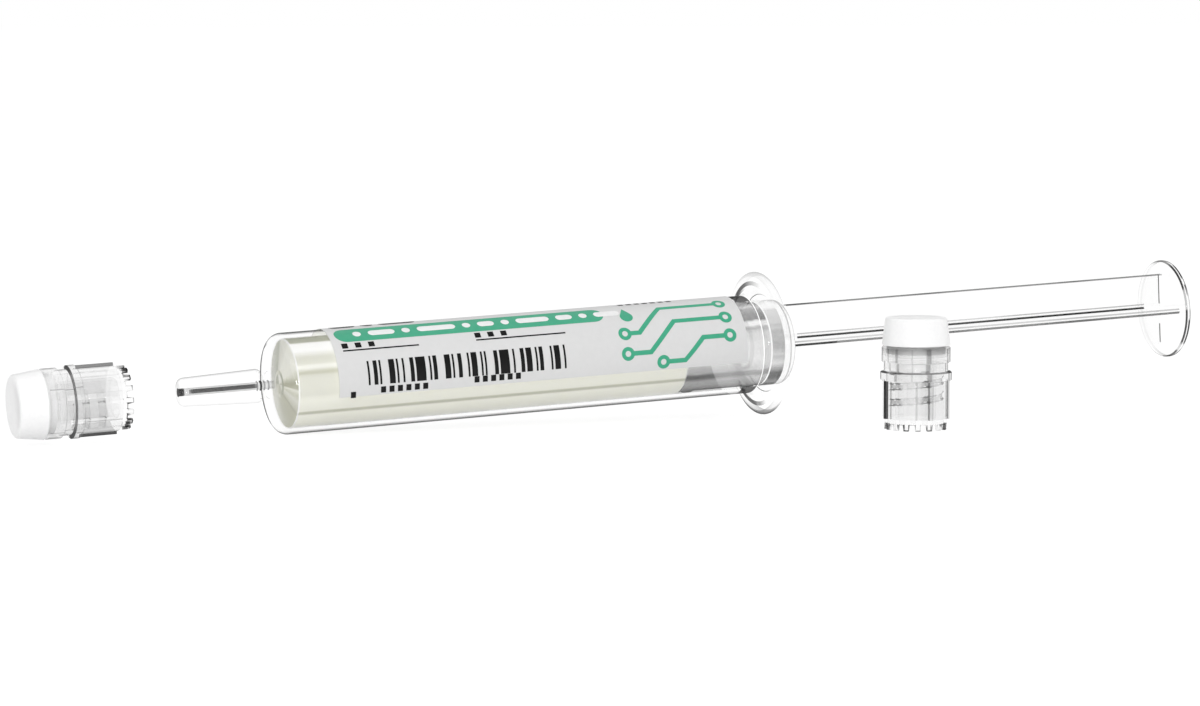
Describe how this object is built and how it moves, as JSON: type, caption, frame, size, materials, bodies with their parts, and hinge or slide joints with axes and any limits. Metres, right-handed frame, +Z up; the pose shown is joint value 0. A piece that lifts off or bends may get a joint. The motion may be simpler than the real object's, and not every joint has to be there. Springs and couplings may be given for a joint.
{
  "type": "flux syringe",
  "caption": "Clear dispensing syringe filled with soldering flux, with a push rod, a cap pulled off its nozzle and a spare cap standing beside it.",
  "frame": {"origin": "on the surface that the syringe lies on, under the centre of the whole part's box", "axes": "+X from the caps and nozzle towards the thumb disc, +Z up; the syringe's own axis lies in the XZ plane, 2.6 degrees nose down, because the flange lifts the rear"},
  "size_m": [0.2532, 0.0592, 0.0294],
  "materials": {
    "clear_plastic": "clear, polished",
    "clear_cap_plastic": "clear, moulded",
    "white_plastic": "satin",
    "label_film": "smooth printed film",
    "flux_gel": "glossy translucent gel"
  },
  "bodies": {
    "barrel": {"barrel": "clear_plastic", "label": "label_film", "flux_charge": "flux_gel", "spare_cap_sleeve": "clear_cap_plastic", "spare_cap_closure": "white_plastic"},
    "piston": {"piston": "clear_plastic"},
    "rod": {"plunger_rod": "clear_plastic"},
    "nozzle_cap": {"nozzle_cap_sleeve": "clear_cap_plastic", "nozzle_cap_closure": "white_plastic"}
  },
  "joints": [
    {"name": "plunger_slide", "type": "slide", "parent": "barrel", "child": "piston", "axis": [-0.9989, 0, -0.0459], "range_m": [0, 0.0825], "deforming": ["flux_charge"]},
    {"name": "rod_turn", "type": "hinge", "parent": "piston", "child": "rod", "pos_m": [0.03491, 0.01491, 0.01491], "axis": [0.9989, 0, 0.0459], "continuous": true},
    {"name": "cap_slide", "type": "slide", "parent": "barrel", "child": "nozzle_cap", "axis": [0.9989, 0, 0.0459], "range_m": [0, 0.0288]}
  ]
}
